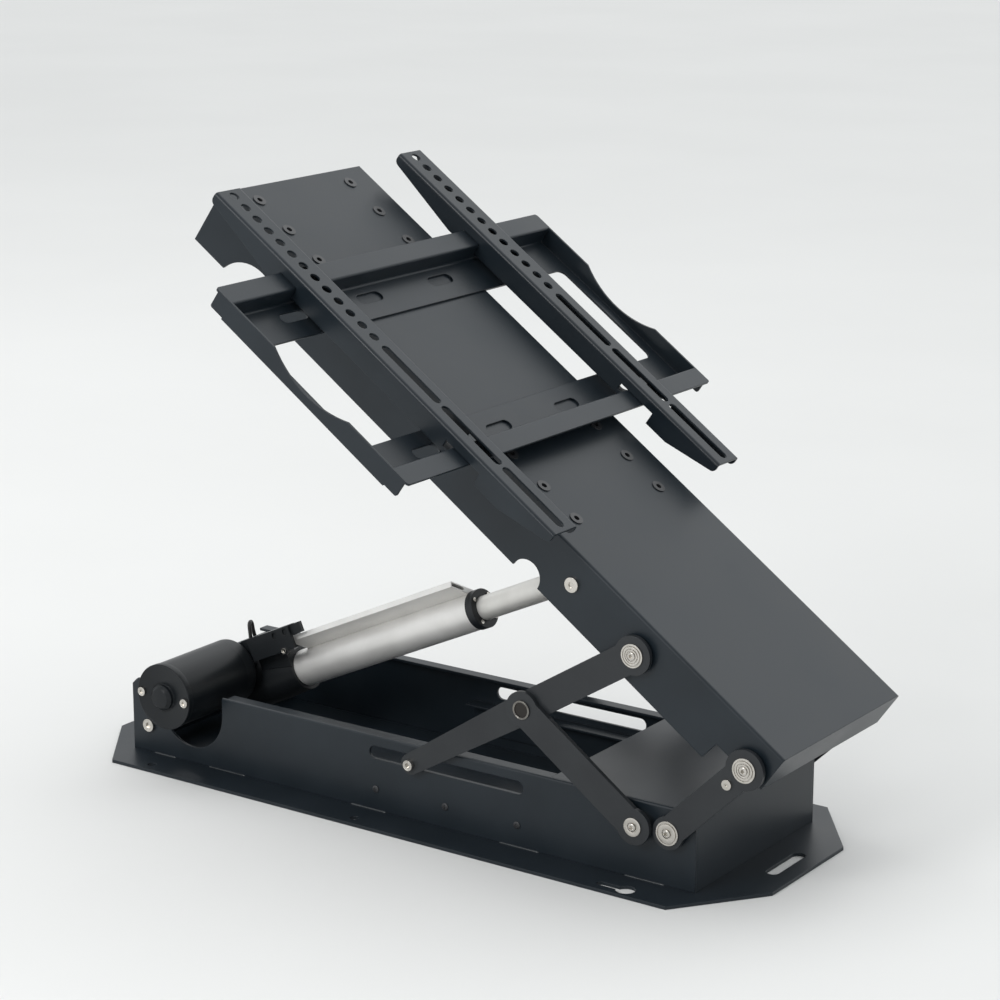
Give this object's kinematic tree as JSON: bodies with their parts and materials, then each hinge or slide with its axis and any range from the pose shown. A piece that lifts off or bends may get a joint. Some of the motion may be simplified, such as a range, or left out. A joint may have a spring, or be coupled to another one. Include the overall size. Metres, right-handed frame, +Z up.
{
  "type": "motorized flip-up tv mount",
  "caption": "Steel base trough with a bar linkage and a linear actuator that tilt a boom carrying a screen frame with two slotted, sliding rails.",
  "frame": {"origin": "middle of the base trough's footprint, on the underside of the base plate", "axes": "+X along the trough towards the cranks, +Y away from the motor, +Z up"},
  "size_m": [0.7485, 0.466, 0.5532],
  "materials": {
    "frame_black": "satin black powder coat",
    "link_black": "satin black powder coat",
    "zinc": "bright zinc plate",
    "black_screw": "black oxide",
    "bronze": "sintered bronze, dull",
    "anodised": "silver anodised",
    "rod_silver": "satin silver",
    "motor_black": "satin black paint",
    "housing_black": "moulded black",
    "steel": "turned steel",
    "ferrite": "dark ferrite",
    "nylon": "natural nylon",
    "lead_black": "black sleeve"
  },
  "bodies": {
    "base": {"base_plate": "frame_black", "near_side_plate": "frame_black", "far_side_plate": "frame_black", "rear_end_plate": "frame_black", "front_end_plate": "frame_black", "deck_plate": "frame_black", "slide_guides": "frame_black", "guide_screws": "black_screw", "rear_pivot_pin": "zinc", "rear_pivot_spacers": "steel", "strut_base_bolts": "zinc", "strut_base_spacers": "nylon", "crank_base_bolts": "zinc", "crank_base_spacers": "nylon", "base_pivot_nuts": "zinc"},
    "struts": {"near_strut_link": "link_black", "far_strut_link": "link_black", "centre_pivot_rings": "zinc", "centre_pivot_plugs": "bronze"},
    "lift_links": {"near_lift_link": "link_black", "far_lift_link": "link_black", "slot_pins": "zinc", "slot_pin_washers": "nylon"},
    "boom": {"boom_channel": "frame_black", "boom_rivnuts": "black_screw", "rod_axle_halves": "zinc", "rod_axle_spacers": "steel", "boom_link_bolts": "zinc", "boom_link_spacers": "nylon", "boom_pivot_nuts": "zinc", "screen_frame": "frame_black"},
    "near_rail": {"near_screen_rail": "frame_black"},
    "far_rail": {"far_screen_rail": "frame_black"},
    "cranks": {"near_crank": "link_black", "far_crank": "link_black", "crank_head_bolts": "zinc", "crank_head_spacers": "nylon", "crank_set_screws": "zinc"},
    "actuator": {"gear_cover": "housing_black", "gear_housing": "housing_black", "motor_can": "motor_black", "motor_end_cap": "motor_black", "motor_cap_screws": "zinc", "motor_magnets": "ferrite", "motor_armature": "steel", "motor_worm": "steel", "worm_wheel": "bronze", "screw_bearing": "steel", "lead_screw": "steel", "actuator_tube": "anodised", "tube_end_ring": "housing_black", "tube_ring_screws": "zinc", "switch_housing": "housing_black", "switch_screw": "zinc", "motor_lead": "lead_black"},
    "rod": {"actuator_rod": "rod_silver", "rod_nut": "bronze", "rod_eye": "rod_silver", "rod_eye_pin": "steel"}
  },
  "joints": [
    {"name": "strut_swing", "type": "hinge", "parent": "base", "child": "struts", "pos_m": [0.2543, 0, 0.053], "axis": [0, 1, 0], "range_deg": [-24, 14.6]},
    {"name": "lift_link_swing", "type": "hinge", "parent": "struts", "child": "lift_links", "pos_m": [0.14245, 0, 0.13297], "axis": [0, 1, 0], "range_deg": [-28.39, 46.47]},
    {"name": "boom_tilt", "type": "hinge", "parent": "lift_links", "child": "boom", "pos_m": [0.24879, 0, 0.19942], "axis": [0, 1, 0], "range_deg": [-56.06, 34.22]},
    {"name": "crank_swing", "type": "hinge", "parent": "base", "child": "cranks", "pos_m": [0.2853, 0, 0.0528], "axis": [0, 1, 0], "range_deg": [-12.59, 20.5]},
    {"name": "actuator_swing", "type": "hinge", "parent": "base", "child": "actuator", "pos_m": [-0.2883, 0, 0.0296], "axis": [0, 1, 0], "range_deg": [-8.79, 14.26]},
    {"name": "rod_extend", "type": "slide", "parent": "actuator", "child": "rod", "axis": [0.9084, 0, 0.4182], "range_m": [-0.0775, 0.04734]},
    {"name": "near_rail_slide", "type": "slide", "parent": "boom", "child": "near_rail", "axis": [0, -1, 0], "range_m": [-0.031, 0.069]},
    {"name": "far_rail_slide", "type": "slide", "parent": "boom", "child": "far_rail", "axis": [0, 1, 0], "range_m": [-0.031, 0.069]}
  ],
  "couplings": [
    {"joint": "lift_link_swing", "follows": "strut_swing", "ratio": -1.9239},
    {"joint": "boom_tilt", "follows": "strut_swing", "ratio": 2.3235},
    {"joint": "crank_swing", "follows": "strut_swing", "ratio": -0.8418},
    {"joint": "actuator_swing", "follows": "strut_swing", "ratio": -0.5817},
    {"joint": "rod_extend", "follows": "strut_swing", "m_per_rad": 0.18382}
  ]
}
